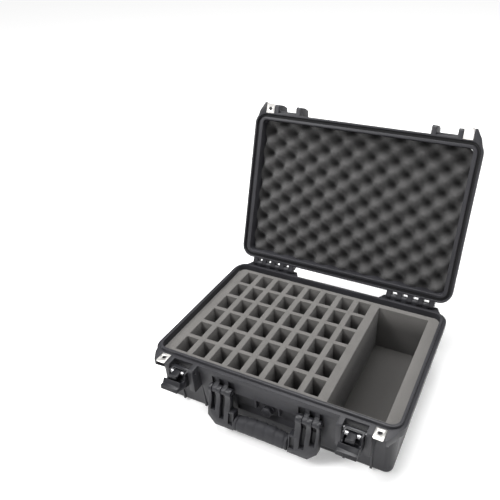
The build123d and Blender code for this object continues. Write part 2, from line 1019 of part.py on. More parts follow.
def handle_frame():
    """Handle hanging straight down from its pivot, before it is hung in place."""
    half = handle_half_width
    bend = handle_reach - handle_chamfer
    grip_end = grip_half_length + grip_side_gap
    outline = [
        (half, 0),
        (half, -bend),
        (half - handle_chamfer, -handle_reach),
        (-half + handle_chamfer, -handle_reach),
        (-half, -bend),
        (-half, 0),
        (-handle_arm_inner, 0),
        (-handle_arm_inner, -handle_web_start),
        (-grip_end, -handle_web_start),
        (-grip_end, -grip_core_start),
        (grip_end, -grip_core_start),
        (grip_end, -handle_web_start),
        (handle_arm_inner, -handle_web_start),
        (handle_arm_inner, 0),
    ]
    wire = Polyline(*[(x, 0, z) for x, z in outline], close=True)
    frame = extrude(make_face(wire), handle_half_thickness, both=True)
    frame = Pos(0, handle_y, handle_z) * frame & prism_x(handle_side(), -half, half)
    hub = rod_x(handle_hub_radius, handle_y, handle_z, handle_arm_inner, half)
    frame += both_sides(hub)
    frame -= grip_room()
    cuts = Part()
    for low, high, depth in tine_slots:
        beyond = 2 * handle_hub_radius
        cuts += block(
            (low, high),
            (handle_y - beyond, handle_y + beyond),
            (handle_z - tine_slot_floor_top, handle_z + beyond),
        )
        cuts += block(
            (low, high),
            (handle_y - beyond, handle_y + tine_slot_floor),
            (handle_z - depth, handle_z - tine_slot_floor_top + past),
        )
    face = handle_y - handle_half_thickness
    cuts += block(
        (grip_end + handle_pocket_side, handle_arm_inner + handle_pocket_side),
        (face - past, face + handle_pocket_depth),
        (handle_z - handle_pocket_foot, handle_z - handle_pocket_top),
    )
    return handle_hung(frame - both_sides(cuts) - handle_bore())


def grip_room():
    """Space around the handle's bar that the rubber grip fills."""
    half = grip_half_length + grip_side_gap
    y_out = handle_y + 2 * grip_half_thickness
    y_in = handle_y - 2 * grip_half_thickness
    heights = (handle_z - handle_reach - past, handle_z - grip_core_start + past)
    around = block((-half, half), (y_in, y_out), heights)
    return around - grip_core(0)


def grip_core(grow):
    half = grip_half_length + grip_side_gap + past
    return block(
        (-half, half),
        (handle_y - grip_core_half_thickness - grow, handle_y + grip_core_half_thickness + grow),
        (handle_z - grip_core_end - grow, handle_z - grip_core_start + grow),
    )


def handle_grip():
    """Rubber sleeve with a crowned finger side."""
    half = grip_half_length
    top = handle_z - grip_start
    low = handle_z - handle_reach
    y = handle_y
    crown = ThreePointArc((-half, y, top), (0, y, top + grip_crown), (half, y, top))
    rest = Polyline((half, y, top), (half, y, low), (-half, y, low), (-half, y, top))
    face = make_face(Curve() + [crown, rest])
    sleeve = extrude(face, grip_half_thickness, both=True)
    long_edges = sleeve.edges().filter_by(lambda e: abs(e.center().X) < half / 2)
    sleeve = fillet(long_edges, grip_round)
    return handle_hung(sleeve - grip_core(grip_clearance))


def handle_pin():
    low, high = handle_pin_span()
    return rod_x(handle_pin_radius, handle_y, handle_z, low, high)


def valve_layers():
    """Y of the seal's front, the bezel's front and the knob's back."""
    seal = valve_face() - valve_seal_thickness
    bezel = seal - valve_bezel_thickness
    return seal, bezel, bezel - valve_knob_gap


def valve_body():
    z = parting - valve_drop
    seal, bezel, _ = valve_layers()
    stub_end = -wall_face(z) + shell_wall - foam_clearance
    body = rod_y(valve_bezel_radius, 0, z, bezel, seal)
    body += rod_y(valve_stub_radius, 0, z, seal - past, stub_end)
    stem_end = bezel + valve_stem_length + past
    return body - rod_y(valve_stem_radius + pin_clearance, 0, z, bezel - past, stem_end)


def valve_seal():
    z = parting - valve_drop
    seal = valve_layers()[0]
    ring_part = rod_y(valve_seal_radius, 0, z, seal, valve_face())
    return ring_part - rod_y(valve_stub_radius + pin_clearance, 0, z, seal - past, valve_face() + past)


def valve_knob():
    z = parting - valve_drop
    _, bezel, back = valve_layers()
    turned = Pos(0, back, z) * Rot(90, 0, 0)
    head = extrude(turned * RegularPolygon(valve_knob_radius, knob_sides), valve_knob_thickness)
    head += rod_y(valve_collar_radius, 0, z, back - valve_knob_thickness / 2, back)
    front_edges = head.faces().sort_by(Axis.Y)[0].edges()
    head = chamfer(front_edges, knob_chamfer)
    return head + rod_y(valve_stem_radius, 0, z, back - past, bezel + valve_stem_length)


def foam_outline(z_top, z_low):
    """Block of foam that fills the cavity between two heights."""
    inset = (parting - z_top) * slope + foam_clearance
    return drafted_down(
        cavity_width - 2 * inset,
        cavity_depth - 2 * inset,
        cavity_corner - inset / 2,
        z_top,
        z_top - z_low,
    )


def foam_levels():
    top = parting - foam_drop
    pad = floor_thickness + foam_pad_thickness
    return top, pad


def slot_lines(count, pitch, start, size):
    """Edges of a row of slots, as (low, high) pairs."""
    return [(start + i * pitch, start + i * pitch + size) for i in range(count)]


def gaps_between(lines, low, high):
    """Spans of foam left before, between and after the slots."""
    edges = [low] + [edge for line in lines for edge in line] + [high]
    return [(edges[i], edges[i + 1]) for i in range(0, len(edges), 2)]


def foam_slot_block():
    """Harmonica side of the insert: full strips with webs glued between them."""
    top, pad = foam_levels()
    whole = foam_outline(top, pad)
    left = -cavity_width / 2
    columns = slot_lines(slot_columns, slot_pitch_x, slot_left, slot_width)
    rows = slot_lines(slot_rows, slot_pitch_y, slot_front, slot_depth)
    pieces = []
    for row in gaps_between(rows, -cavity_depth / 2, cavity_depth / 2):
        pieces.append(whole & block((left, well_left), row, (pad, top)))
    for row in rows:
        for web in gaps_between(columns, left, well_left):
            pieces.append(whole & block(web, row, (pad, top)))
    return Compound(children=[solid for piece in pieces for solid in piece.solids()])


def foam_well_surround():
    """Three walls of foam around the accessory well."""
    top, pad = foam_levels()
    whole = foam_outline(top, pad)
    right = cavity_width / 2
    spans = [
        ((well_left, right), (-cavity_depth / 2, well_front)),
        ((well_left, right), (well_back, cavity_depth / 2)),
        ((well_right, right), (well_front, well_back)),
    ]
    pieces = [whole & block(x, y, (pad, top)) for x, y in spans]
    return Compound(children=[solid for piece in pieces for solid in piece.solids()])


def foam_floor_pad():
    _, pad = foam_levels()
    return foam_outline(pad, floor_thickness)


def egg_places(row, reach_x, reach_y):
    """Chessboard lattice inside two half widths, with one place on the centre line at a row."""
    columns = math.ceil(reach_x / egg_pitch_x)
    rows = math.ceil((reach_y + abs(row)) / egg_pitch_y)
    places = []
    for i in range(-columns, columns + 1):
        for j in range(-rows, rows + 1):
            for half in (0, 0.5):
                x = (i + half) * egg_pitch_x
                y = row + (j + half) * egg_pitch_y
                if abs(x) < reach_x and abs(y) < reach_y:
                    places.append((x, y))
    return places


def egg_cones(places, z_low, radius_low, z_high, radius_high):
    middle = (z_low + z_high) / 2
    return [Pos(x, y, middle) * Cone(radius_low, radius_high, z_high - z_low) for x, y in places]


def lid_foam():
    """Egg-crate foam: hills stand on the level between them, and pits go down from it."""
    low = parting + lid_foam_drop
    inset = (low - rim) * slope + foam_clearance
    reach_x = lid_cavity_width / 2 - inset
    reach_y = lid_cavity_depth / 2 - inset
    whole = drafted_up(
        2 * reach_x,
        2 * reach_y,
        lid_cavity_corner - inset,
        low,
        lid_top - shell_wall - low,
    )
    level = low + egg_hill_height
    hill_flare = (egg_radius - egg_hill_crown) / egg_hill_height * past
    hills = egg_cones(
        egg_places(egg_row + egg_pitch_y / 2, reach_x, reach_y),
        low,
        egg_hill_crown,
        level + past,
        egg_radius + hill_flare,
    )
    pit_flare = (egg_radius - egg_pit_floor) / egg_pit_depth * past
    pits = egg_cones(
        egg_places(egg_row, reach_x, reach_y),
        level - past,
        egg_radius + pit_flare,
        level + egg_pit_depth,
        egg_pit_floor,
    )
    beyond = (-case_width, case_width)
    foam = whole & block(beyond, beyond, (level, lid_top))
    foam = foam - pits + [hill & whole for hill in hills]
    return lid_opened(foam)


def save(name, shape):
    export_step(shape, f"parts/{name}.step")
    print(name, len(shape.solids()), "solids", round(shape.volume / 1000, 1), "cm3")


def main():
    os.makedirs("parts", exist_ok=True)
    save("base_shell", base_shell())
    save("lid_shell", lid_shell())
    save("lid_gasket", lid_gasket())
    save("label_plate", label_plate())
    save("foam_slot_block", foam_slot_block())
    save("foam_well_surround", foam_well_surround())
    save("foam_floor_pad", foam_floor_pad())
    save("lid_foam", lid_foam())
    save("handle_frame", handle_frame())
    save("handle_grip", handle_grip())
    save("valve_body", valve_body())
    save("valve_seal", valve_seal())
    save("valve_knob", valve_knob())
    for side, sign in sides.items():
        save(f"hinge_pin_{side}", on_side(hinge_pin(), sign))
        save(f"lock_plate_base_{side}", on_side(lock_plate(parting - plate_thickness), sign))
        save(f"lock_plate_lid_{side}", lid_opened(on_side(lock_plate(rim), sign)))
        save(f"latch_lever_{side}", on_side(latch_lever(), sign))
        save(f"latch_pin_{side}", on_side(latch_pin(), sign))
        save(f"latch_claw_{side}", on_side(latch_claw(), sign))
        save(f"claw_pin_{side}", on_side(claw_pin(), sign))
        save(f"claw_spacers_{side}", on_side(claw_spacers(), sign))
        save(f"handle_pin_{side}", on_side(handle_pin(), sign))


main()
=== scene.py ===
# %% [markdown]
# # A hard case with slotted foam
# The frame holds every rigid piece of this case at its real size: two moulded shells, hinge pins,
# latches, padlock plates and a folding handle. This lesson rounds their edges and gives them their
# finish. It models the handle's grip and the foam, which are soft and need more shape than a plain
# block. Everything is in metres.

import json
import math

import bmesh
import bpy
from mathutils import Matrix, Vector
from mathutils.bvhtree import BVHTree

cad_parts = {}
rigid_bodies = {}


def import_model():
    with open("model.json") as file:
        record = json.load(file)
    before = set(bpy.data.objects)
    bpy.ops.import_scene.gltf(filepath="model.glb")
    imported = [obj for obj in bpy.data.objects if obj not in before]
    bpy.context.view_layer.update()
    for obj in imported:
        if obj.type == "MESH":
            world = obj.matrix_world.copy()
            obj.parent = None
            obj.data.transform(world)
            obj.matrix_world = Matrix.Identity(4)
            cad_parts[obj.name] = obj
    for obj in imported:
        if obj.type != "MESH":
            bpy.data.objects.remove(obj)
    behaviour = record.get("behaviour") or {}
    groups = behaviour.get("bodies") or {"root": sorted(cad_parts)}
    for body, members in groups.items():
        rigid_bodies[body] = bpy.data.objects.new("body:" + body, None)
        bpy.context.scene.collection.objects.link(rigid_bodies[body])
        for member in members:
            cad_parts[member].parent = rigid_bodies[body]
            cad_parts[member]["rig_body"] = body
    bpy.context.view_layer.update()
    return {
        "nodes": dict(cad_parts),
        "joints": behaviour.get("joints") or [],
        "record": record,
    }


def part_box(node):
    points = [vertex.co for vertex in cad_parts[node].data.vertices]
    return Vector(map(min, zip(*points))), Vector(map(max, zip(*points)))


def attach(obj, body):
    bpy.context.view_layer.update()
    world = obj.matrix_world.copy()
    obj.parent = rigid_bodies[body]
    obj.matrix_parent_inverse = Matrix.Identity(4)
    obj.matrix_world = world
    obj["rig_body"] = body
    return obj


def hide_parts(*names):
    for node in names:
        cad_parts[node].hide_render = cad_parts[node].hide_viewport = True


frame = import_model()
print("nodes", len(frame["nodes"]))

# %% [markdown]
# ## Helpers for modelling by hand
# In the window, one would click a face or an edge and then press a key. In a script the click is a
# test on the place of each face or edge, and the key is an operator. Everything is deselected first,
# because an operator acts on all that is selected.

# %% Select and edit
MM = 0.001


def start_clean():
    """Leaves edit mode and selects nothing."""
    if bpy.context.object and bpy.context.object.mode != "OBJECT":
        bpy.ops.object.mode_set(mode="OBJECT")
    bpy.ops.object.select_all(action="DESELECT")


def take(obj):
    """Selects one object and makes it the active one."""
    start_clean()
    obj.select_set(True)
    bpy.context.view_layer.objects.active = obj
    return obj


def edit(kind):
    """Enters edit mode, to work on vertices, edges or faces."""
    bpy.ops.object.mode_set(mode="EDIT")
    bpy.ops.mesh.select_mode(type=kind)


def pick(kind, test):
    """Selects the vertices, edges or faces that pass a test, in edit mode."""
    mesh = bpy.context.object.data
    bm = bmesh.from_edit_mesh(mesh)
    for group in (bm.faces, bm.edges, bm.verts):
        for element in group:
            element.select = False
    chosen = {"VERT": bm.verts, "EDGE": bm.edges, "FACE": bm.faces}[kind]
    count = 0
    for element in chosen:
        if test(element):
            element.select_set(True)
            count += 1
    bmesh.update_edit_mesh(mesh)
    return count


def done():
    """Leaves edit mode."""
    bpy.ops.object.mode_set(mode="OBJECT")


def bake_place(obj):
    """Moves an object's place, turn and size into its mesh."""
    take(obj)
    bpy.ops.object.transform_apply(location=True, rotation=True, scale=True)


def apply_modifier(obj, kind, **settings):
    """Adds a modifier, sets it and applies it."""
    take(obj)
    modifier = obj.modifiers.new(kind.title(), kind)
    for key, value in settings.items():
        setattr(modifier, key, value)
    bpy.ops.object.modifier_apply(modifier=modifier.name)


WELD = 0.01 * MM


def faces_out(obj):
    """Merges doubled points and turns every face outwards."""
    take(obj)
    edit("FACE")
    bpy.ops.mesh.select_all(action="SELECT")
    bpy.ops.mesh.remove_doubles(threshold=WELD)
    bpy.ops.mesh.normals_make_consistent(inside=False)
    done()


def smooth(obj, angle):
    """Shades smoothly over edges flatter than an angle in degrees."""
    take(obj)
    bpy.ops.object.shade_smooth_by_angle(angle=math.radians(angle))


print("a millimetre is", MM, "and points closer than", WELD, "are welded")

# %% [markdown]
# ## Materials as arithmetic
# A surface's colour and roughness change a little from place to place. Blender works this out with
# nodes, and a chain of Math nodes is only a sum. The class below wraps a node's output, so that the
# sum can be written as one: 0.4 + 0.1 * grain adds the two nodes that it needs.

# %% Numbers on a surface
class Number:
    """A number at each point of a surface, held by a node's output socket."""

    def __init__(self, finish, socket):
        self.finish = finish
        self.socket = socket

    def math(self, operation, *values):
        return self.finish.node("ShaderNodeMath", {"operation": operation}, dict(enumerate(values)))

    def __add__(self, other):
        return self.math("ADD", self, other)

    __radd__ = __add__

    def __mul__(self, other):
        return self.math("MULTIPLY", self, other)

    __rmul__ = __mul__

    def __sub__(self, other):
        return self.math("SUBTRACT", self, other)

    def __rsub__(self, other):
        return self.math("SUBTRACT", other, self)

    def __pow__(self, other):
        return self.math("POWER", self, other)

    def above(self, low, high):
        """0 up to low, 1 from high, and smooth between them."""
        settings = {"interpolation_type": "SMOOTHSTEP"}
        values = {"Value": self, "From Min": low, "From Max": high}
        return self.finish.node("ShaderNodeMapRange", settings, values)


class Finish:
    """One material, whose nodes all come from one method."""

    def __init__(self, name):
        self.material = bpy.data.materials.new(name)
        self.material.use_nodes = True
        self.tree = self.material.node_tree
        self.shader = self.tree.nodes["Principled BSDF"]

    def node(self, kind, settings=None, values=None, output=0):
        """Adds a node, sets its settings, then its sockets, and returns an output."""
        made = self.tree.nodes.new(kind)
        for key, value in (settings or {}).items():
            setattr(made, key, value)
        for key, value in (values or {}).items():
            self.feed(made.inputs[key], value)
        return Number(self, made.outputs[output])

    def feed(self, socket, value):
        """Links a socket to a number, or sets it."""
        if isinstance(value, Number):
            self.tree.links.new(value.socket, socket)
        elif hasattr(value, "__len__") and len(value) == 3 and socket.type == "RGBA":
            socket.default_value = (*value, 1.0)
        else:
            socket.default_value = value

    def place(self):
        """Object coordinates."""
        return self.node("ShaderNodeTexCoord", output="Object")

    def stretched(self, scale):
        """Object coordinates, scaled along each axis."""
        return self.node("ShaderNodeMapping", {}, {"Vector": self.place(), "Scale": scale})

    def noise(self, size_mm, detail=2.0, roughness=0.5, where=None):
        """Soft noise whose blots are about size_mm across."""
        values = {
            "Vector": where or self.place(),
            "Scale": 1 / (size_mm * MM),
            "Detail": detail,
            "Roughness": roughness,
        }
        return self.node("ShaderNodeTexNoise", {}, values)

    def mix(self, factor, first, second):
        """Colour between two colours."""
        settings = {"data_type": "RGBA"}
        return self.node("ShaderNodeMix", settings, {0: factor, 6: first, 7: second}, output=2)

    def bump(self, height, depth_mm):
        values = {"Height": height, "Distance": depth_mm * MM, "Strength": 1.0}
        return self.node("ShaderNodeBump", {}, values)

    def surface(self, **values):
        """Feeds the shader's sockets, named with _ for a space."""
        for key, value in values.items():
            self.feed(self.shader.inputs[key.replace("_", " ")], value)
        return self.material


def shade_of(colour, share):
    """A colour, lighter or darker by a share."""
    return tuple(share * c for c in colour)


print("a colour at half its light", shade_of((0.2, 0.2, 0.2), 0.5))

# %% [markdown]
# ## Moulded plastic
# The shells are injection moulded in a charcoal plastic with a fine spark-eroded grain, so they look
# matt from far away and sparkle a little close up. A coarse noise makes the tone drift, and two fine
# noises make the grain. A painted picture would need its seams placed on every piece; noise in the
# piece's own space has none. The same recipe, with another grain, serves the latches and the handle.

# %% Plastic finishes
CHARCOAL = (0.0195, 0.0193, 0.0222)
SATIN_BLACK = (0.0150, 0.0150, 0.0175)
LATCH_BLACK = (0.0095, 0.0095, 0.0115)
LABEL_BLACK = (0.022, 0.022, 0.025)
DRIFT_MM = 60
PLASTIC_SHINE = 0.26


def moulded(name, colour, grain_mm, depth_mm, roughness):
    """Grained plastic, with its grain's width and depth."""
    finish = Finish(name)
    drift = finish.noise(DRIFT_MM, 3.0).above(0.3, 0.7)
    grain = finish.noise(grain_mm)
    coarse = finish.noise(grain_mm * 4)
    tone = finish.mix(drift * 0.7 + 0.3 * grain, shade_of(colour, 0.82), shade_of(colour, 1.2))
    rough = roughness + 0.08 * drift + 0.1 * (grain - 0.5)
    height = grain * 0.7 + coarse * 0.3
    return finish.surface(
        Base_Color=tone,
        Roughness=rough,
        Normal=finish.bump(height, depth_mm),
        Specular_IOR_Level=PLASTIC_SHINE,
    )


shell_plastic = moulded("shell_plastic", CHARCOAL, 0.7, 0.05, 0.44)
satin_plastic = moulded("satin_plastic", SATIN_BLACK, 0.5, 0.025, 0.36)
latch_plastic = moulded("latch_plastic", LATCH_BLACK, 0.5, 0.025, 0.32)
label_plastic = moulded("label_plastic", LABEL_BLACK, 0.9, 0.02, 0.3)
plastics = (shell_plastic, satin_plastic, latch_plastic, label_plastic)
print("plastic finishes", [m.name for m in plastics])

# %% [markdown]
# ## Rubber
# The handle's grip and the seals are rubber: darker, with almost no shine, and the grip has a fine
# leather-like texture for the fingers. Voronoi cells are close to the small pads of that texture.

# %% Rubber finishes
GRIP_BLACK = (0.017, 0.017, 0.0195)
SEAL_BLACK = (0.012, 0.012, 0.013)
DUST_MM = 14
RUBBER_SHINE = 0.22


def rubber(name, colour, pad_mm, depth_mm):
    """Rubber with small raised pads, and dust that makes it paler."""
    finish = Finish(name)
    values = {"Vector": finish.place(), "Scale": 1 / (pad_mm * MM)}
    hollows = finish.node("ShaderNodeTexVoronoi", {"feature": "SMOOTH_F1"}, values)
    dust = finish.noise(DUST_MM, 4.0).above(0.45, 0.8)
    tone = finish.mix(dust * 0.35, colour, shade_of(colour, 1.9))
    rough = 0.62 + 0.14 * dust
    return finish.surface(
        Base_Color=tone,
        Roughness=rough,
        Normal=finish.bump(1 - hollows, depth_mm),
        Specular_IOR_Level=RUBBER_SHINE,
    )


grip_rubber = rubber("grip_rubber", GRIP_BLACK, 0.9, 0.06)
seal_rubber = rubber("seal_rubber", SEAL_BLACK, 1.6, 0.02)
print("rubber finishes", grip_rubber.name, seal_rubber.name)

# %% [markdown]
# ## Steel
# The padlock plates are stamped from stainless sheet and brushed in one direction. Brushing is noise
# that is squeezed across the brush and drawn out along it, and it shows in the roughness and in a
# very shallow bump. The pins are drawn wire, so their lines run along the case's width.

# %% Steel finishes
STAINLESS = (0.88, 0.86, 0.83)
DRAWN_WIRE = (0.40, 0.40, 0.41)
CLOUD_MM = 9
BRUSH_DEPTH_MM = 0.01


def brushed(name, colour, scale, roughness):
    """Steel whose brush lines are long where scale is small."""
    finish = Finish(name)
    lines = finish.noise(1.0, 3.0, 0.6, finish.stretched(scale))
    cloud = finish.noise(CLOUD_MM, 3.0).above(0.35, 0.75)
    tone = finish.mix(lines * 0.5 + 0.5 * cloud, shade_of(colour, 0.82), colour)
    rough = roughness + 0.14 * lines + 0.06 * cloud
    normal = finish.bump(lines, BRUSH_DEPTH_MM)
    return finish.surface(Base_Color=tone, Roughness=rough, Metallic=1.0, Normal=normal)


plate_steel = brushed("plate_steel", STAINLESS, (0.06, 5.0, 5.0), 0.3)
pin_steel = brushed("pin_steel", DRAWN_WIRE, (0.08, 6.0, 6.0), 0.2)
print("steel finishes", plate_steel.name, pin_steel.name)

# %% [markdown]
# ## Foam
# Polyurethane foam is full of small cells. Seen close, cut foam is a net of light walls around dark
# pores; seen from a step away it is a soft grey with a fine speckle and no shine. Two sizes of
# Voronoi cells give the pores, and noise makes them uneven. On top of this, a painted shade, from 0
# to 1, darkens the colour in the pits of the lid's foam and the depths of the slots, where shade falls.

# %% Foam's pores
PORE_DEPTH_MM = 0.25
PATCH_MM = 35
FOAM_SHEEN = 0.12
FOAM_SHINE = 0.2


def cells(finish, size_mm):
    """0 in the middle of each Voronoi cell and 1 towards its walls."""
    values = {"Vector": finish.place(), "Scale": 1 / (size_mm * MM)}
    return finish.node("ShaderNodeTexVoronoi", {}, values).above(0.15, 0.6)


def foam(name, colour, pore_mm, pore_shade, painted_shade, darkest):
    """Foam that darkens in its pores, and is painted darker, towards darkest, where its painted shade
    mask is 1.
    """
    finish = Finish(name)
    wobble = finish.noise(3.0)
    walls = cells(finish, pore_mm) * 0.65 + cells(finish, pore_mm / 2.3) * 0.35
    patches = finish.noise(PATCH_MM, 4.0, 0.6).above(0.3, 0.7)
    depth = pore_shade * (1 - walls) + 0.12 * patches + 0.1 * wobble
    tone = finish.mix(depth, shade_of(colour, 1.22), shade_of(colour, 0.45))
    return finish.surface(
        # Painted shade: the colour is drawn towards a darker share of it where the mask for the hollows
        # is 1.
        Base_Color=finish.mix(painted_shade(finish), tone, shade_of(colour, darkest)),
        Roughness=0.9 + 0.08 * wobble,
        Normal=finish.bump(walls, PORE_DEPTH_MM),
        Sheen_Weight=FOAM_SHEEN,
        Specular_IOR_Level=FOAM_SHINE,
    )


# %% Foam finishes
INSERT_GREY = (0.100, 0.096, 0.092)
EGG_GREY = (0.050, 0.049, 0.049)
INSERT_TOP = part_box("foam_slot_block")[1].z
SHADE_FADE_FROM = INSERT_TOP - 2 * MM
SHADE_FADE_TO = INSERT_TOP - 45 * MM
PIT_SHADE_POWER = 1.2


def slot_painted_shade(finish):
    """Painted shade for the slots: 0 at the insert's top, and 1 from a finger's depth down."""
    height = finish.node("ShaderNodeSeparateXYZ", {}, {"Vector": finish.place()}, output=2)
    return 1 - height.above(SHADE_FADE_TO, SHADE_FADE_FROM)


def pit_painted_shade(finish):
    """The pit attribute that the egg-crate foam's points carry, sharpened by a power, as painted shade in
    the pits.
    """
    return finish.node("ShaderNodeAttribute", {"attribute_name": "pit"}, output=2) ** PIT_SHADE_POWER


# Painted shade: the insert's colour is darker deep in its slots, and the egg crate's deep in its pits.
insert_foam = foam("insert_foam", INSERT_GREY, 1.0, 0.6, slot_painted_shade, 0.4)
egg_foam = foam("egg_foam", EGG_GREY, 1.1, 0.5, pit_painted_shade, 0.15)
print("foam finishes", insert_foam.name, egg_foam.name)

# %% [markdown]
# ## Rounded edges on the moulded pieces
# A moulded edge is never sharp: its small round catches a line of light, and that line is what makes
# plastic look real. The frame's pieces have crisp edges, so each is copied, its loose triangles are
# merged into flat faces again, and a Bevel modifier rounds every edge by a fraction of a millimetre.
# The modifier can hold every edge to what the shortest one allows, and on a shell with a few tiny
# edges that is next to nothing. So it is let go, the few points that then fly off are pulled back to
# the piece's own surface, and the result is measured. A round that still strays is made again with a
# smaller width, and in the end it is held.

# %% Measure a copy against its piece
def skin_of(mesh):
    """The mesh's surface, ready to be asked for its nearest point."""
    bm = bmesh.new()
    bm.from_mesh(mesh)
    skin = BVHTree.FromBMesh(bm)
    bm.free()
    return skin


def pull_back(obj, skin, reach):
    """Puts points that are further than reach from the skin back on it."""
    count = 0
    for v in obj.data.vertices:
        nearest, _, _, far = skin.find_nearest(v.co)
        if far > reach:
            v.co = nearest
            count += 1
    return count


def stray(obj, skin):
    """How far any triangle's middle, or the middle of a side, lies from the skin."""
    points = obj.data.vertices
    worst = 0.0
    obj.data.calc_loop_triangles()
    for triangle in obj.data.loop_triangles:
        a, b, c = (points[i].co for i in triangle.vertices)
        for middle in ((a + b + c) / 3, (a + b) / 2, (b + c) / 2, (c + a) / 2):
            worst = max(worst, skin.find_nearest(middle)[3])
    return worst


# %% Copy a piece with flat faces
LOOSE = 0.005 * MM
FLAT = math.radians(1.0)


def merged_copy(node, name):
    """Copy of a frame piece, whose triangles are merged into flat faces."""
    start_clean()
    copy = bpy.data.objects.new(name, frame["nodes"][node].data.copy())
    bpy.context.scene.collection.objects.link(copy)
    take(copy)
    edit("VERT")
    bpy.ops.mesh.select_all(action="SELECT")
    bpy.ops.mesh.remove_doubles(threshold=LOOSE)
    bpy.ops.mesh.dissolve_limited(angle_limit=FLAT)
    done()
    return copy


# %% Round the edges of a copy
ROUND_SEGMENTS = 2
SHARP = math.radians(30)
SMOOTH_DEGREES = 40
REACH_SHARE = 0.8
STRAY_LIMIT = 0.9 * MM
TRIES = ((1.0, False), (0.6, False), (1.0, True))


def rounded(node, radius, name):
    """Copy of a frame piece with rounded edges, which stands for it."""
    source = frame["nodes"][node]
    skin = skin_of(source.data)
    for share, held in TRIES:
        copy = merged_copy(node, name)
        apply_modifier(
            copy,
            "BEVEL",
            width=share * radius,
            segments=ROUND_SEGMENTS,
            limit_method="ANGLE",
            angle_limit=SHARP,
            use_clamp_overlap=held,
            miter_outer="MITER_SHARP",
        )
        pulled = pull_back(copy, skin, REACH_SHARE * share * radius)
        far = stray(copy, skin)
        print(name, len(copy.data.polygons), "faces,", pulled, "points pulled back")
        print("  width", round(share * radius / MM, 2), "mm, stray", round(far / MM, 2), "mm, held", held)
        if far < STRAY_LIMIT:
            break
        bpy.data.objects.remove(copy)
    else:
        copy = merged_copy(node, name)
    smooth(copy, SMOOTH_DEGREES)
    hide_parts(node)
    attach(copy, source["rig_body"])


print("a round is kept when it strays less than", STRAY_LIMIT / MM, "mm")

# %% [markdown]
# ## Dress the frame's pieces
# Each piece of the frame is one material on the real case, so each gets one finish. The finish goes
# in the slot of its mesh before the mesh is copied, and the copies then have it too.

# %% One finish for each piece
SIDES = ("left", "right")
finishes = {
    "base_shell": shell_plastic,
    "lid_shell": shell_plastic,
    "lid_gasket": seal_rubber,
    "label_plate": label_plastic,
    "handle_frame": satin_plastic,
    "handle_grip": grip_rubber,
    "valve_body": satin_plastic,
    "valve_seal": seal_rubber,
    "valve_knob": satin_plastic,
}
for side in SIDES:
    finishes[f"hinge_pin_{side}"] = pin_steel
    finishes[f"lock_plate_base_{side}"] = plate_steel
    finishes[f"lock_plate_lid_{side}"] = plate_steel
    finishes[f"latch_lever_{side}"] = latch_plastic
    finishes[f"latch_pin_{side}"] = pin_steel
    finishes[f"latch_claw_{side}"] = latch_plastic
    finishes[f"claw_pin_{side}"] = pin_steel
    finishes[f"claw_spacers_{side}"] = pin_steel
    finishes[f"handle_pin_{side}"] = pin_steel
for node, material in finishes.items():
    mesh = frame["nodes"][node].data
    mesh.materials.clear()
    mesh.materials.append(material)
print("pieces dressed", len(finishes))

# %% Round them
edge_rounds = {
    "base_shell": 0.7 * MM,
    "lid_shell": 0.7 * MM,
    "handle_frame": 0.9 * MM,
    "valve_body": 0.4 * MM,
    "valve_knob": 0.5 * MM,
    "label_plate": 0.4 * MM,
}
for side in SIDES:
    edge_rounds[f"latch_lever_{side}"] = 0.7 * MM
    edge_rounds[f"latch_claw_{side}"] = 0.5 * MM
    edge_rounds[f"lock_plate_base_{side}"] = 0.3 * MM
    edge_rounds[f"lock_plate_lid_{side}"] = 0.3 * MM
for node, radius in edge_rounds.items():
    rounded(node, radius, f"{node}_moulded")

# %% [markdown]
# ## The handle's grip
# The grip is rubber, moulded over the handle's bar: an oval sleeve that is highest in its middle, with
# shallow waves for the fingers on its inner side and a collar at each end, set off by a thin groove.
# A cylinder is added along the bar and sliced into rings, and each ring is then drawn to the oval, so
# the waves and collars are only a change of the rings' size along the bar. It is worked out with the
# handle straight down and then swung to where the handle hangs.

# %% Size of the grip
handle_joint = next(j for j in frame["joints"] if j["child"] == "handle")
pivot = Vector(handle_joint["pos_m"])
HANG = math.radians(13)
GRIP_HALF = 46 * MM
GRIP_THICK = 10.5 * MM
GRIP_TOP = 38 * MM
GRIP_FOOT = 61.5 * MM
GRIP_CROWN = 5.6 * MM
GRIP_RINGS = 92
GRIP_SIDES = 48
GRIP_END = 1.2 * MM
FINGER_PITCH = 17 * MM
FINGER_DEPTH = 1.1 * MM
FINGER_POWER = 6
BACK_SHARE = 0.25
SOFT_DEGREES = 50
COLLAR = 5 * MM
COLLAR_GROOVE = 0.9 * MM
OVAL_POWER = 0.8


def bell(value, middle, width):
    """1 at the middle and 0 well away from it."""
    return math.exp(-(((value - middle) / width) ** 2))


def oval(angle, half_y, half_z):
    """Point of a fat oval, as (y, z)."""
    y = math.copysign(abs(math.cos(angle)) ** OVAL_POWER, math.cos(angle))
    z = math.copysign(abs(math.sin(angle)) ** OVAL_POWER, math.sin(angle))
    return y * half_y, z * half_z


def grip_ring(x, angle):
    """Place of a point of the grip, below the pivot."""
    crown = GRIP_CROWN * (1 - (x / GRIP_HALF) ** 2)
    finger = (0.5 - 0.5 * math.cos(math.tau * x / FINGER_PITCH)) ** FINGER_POWER
    collar = GRIP_HALF - COLLAR
    groove = bell(x, collar, COLLAR_GROOVE) + bell(x, -collar, COLLAR_GROOVE)
    shrink = COLLAR_GROOVE * groove
    if abs(x) < collar:
        inner_side = math.sqrt(max(0.0, math.sin(angle)))
        shrink += FINGER_DEPTH * finger * (BACK_SHARE + (1 - BACK_SHARE) * inner_side)
    high = -(GRIP_TOP - crown)
    low = -GRIP_FOOT
    y, z = oval(angle, GRIP_THICK - shrink, (high - low) / 2 - shrink)
    return Vector((x, pivot.y + y, pivot.z + (high + low) / 2 + z))


print("grip", round(2 * GRIP_HALF / MM), "mm long, hung by", round(math.degrees(HANG)), "degrees")


